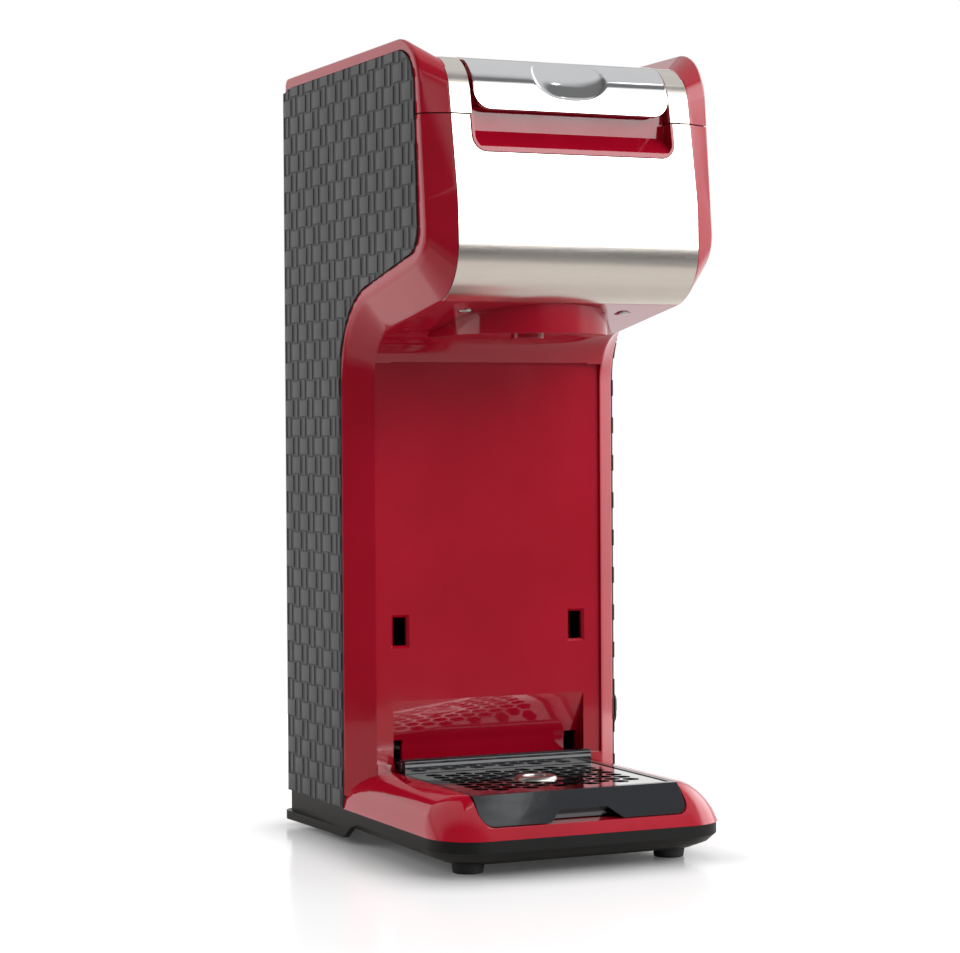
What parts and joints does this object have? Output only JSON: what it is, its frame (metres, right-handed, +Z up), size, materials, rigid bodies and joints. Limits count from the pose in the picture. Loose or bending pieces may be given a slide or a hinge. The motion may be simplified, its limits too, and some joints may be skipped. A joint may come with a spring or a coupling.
{
  "type": "pod_coffee_machine",
  "caption": "Single-serve pod coffee machine in crimson with grey woven-look side panels, a hinged lid with chrome handle, steel front and a slide-out drip tray with hexagonal grille",
  "frame": {"origin": "Bottom centre of the closed machine: on the plane the feet rest on, midway between its sides and midway between the front edge of the base and the flange at the back", "axes": "+Z up; the front with the handle and the drip tray faces -Y; +X is to the right when looking at the front along +Y"},
  "size_m": [0.1292, 0.171, 0.32],
  "materials": {
    "red_gloss": "high-gloss crimson plastic",
    "grey_weave": "dark grey plastic with a fine basket-weave relief",
    "black_plastic": "black moulded plastic, satin",
    "black_gloss": "polished black plastic",
    "rubber": "matt black rubber",
    "brushed_steel": "stainless sheet with a fine brushed grain",
    "bright_steel": "bright stainless steel",
    "chrome": "polished chrome plating",
    "tank_plastic": "smoky translucent plastic",
    "aluminium": "bare cast aluminium",
    "white_plastic": "white heat-proof plastic",
    "silicone": "milky silicone hose",
    "orange_rubber": "orange silicone seal",
    "board_green": "green circuit board"
  },
  "bodies": {
    "housing": {"front_shell": "red_gloss", "side_panel_left": "grey_weave", "side_panel_right": "grey_weave", "back_cover": "black_plastic", "base_plate": "black_plastic", "rubber_feet": "rubber", "steel_front": "brushed_steel", "pocket_insert": "red_gloss", "brew_shroud": "red_gloss", "brew_spout": "red_gloss", "pod_holder": "black_plastic", "lower_needle": "bright_steel", "top_deck": "black_plastic", "water_tank": "tank_plastic", "heater": "aluminium", "thermostat": "white_plastic", "check_valve": "white_plastic", "cold_hose": "silicone", "hot_hose": "silicone", "dock_seal": "orange_rubber", "control_board": "board_green", "power_switch": "black_plastic", "button_bezel": "grey_weave", "cord_gland": "rubber", "base_screws": "bright_steel", "back_screws": "bright_steel", "head_screws": "bright_steel", "hinge_pins": "bright_steel"},
    "lid": {"lid_shell": "red_gloss", "lid_trim": "brushed_steel", "handle": "chrome", "lid_liner": "black_plastic", "upper_needle": "bright_steel", "pod_seal": "orange_rubber", "water_channel": "black_plastic", "liner_screws": "bright_steel"},
    "tray": {"drip_tray": "black_gloss"},
    "grille": {"drip_grille": "brushed_steel", "grille_disc": "chrome"},
    "button": {"power_button": "black_plastic"}
  },
  "joints": [
    {"name": "lid_hinge", "type": "hinge", "parent": "housing", "child": "lid", "pos_m": [0, 0.0745, 0.294], "axis": [-1, 0, 0], "range_deg": [0, 75]},
    {"name": "tray_slide", "type": "slide", "parent": "housing", "child": "tray", "axis": [0, -1, 0], "range_m": [0, 0.09]},
    {"name": "grille_lift", "type": "slide", "parent": "tray", "child": "grille", "axis": [0, 0, 1], "range_m": [0, 0.012]},
    {"name": "button_press", "type": "slide", "parent": "housing", "child": "button", "axis": [-1, 0, 0], "range_m": [0, 0.0012], "stiffness_N_per_m": 600}
  ]
}
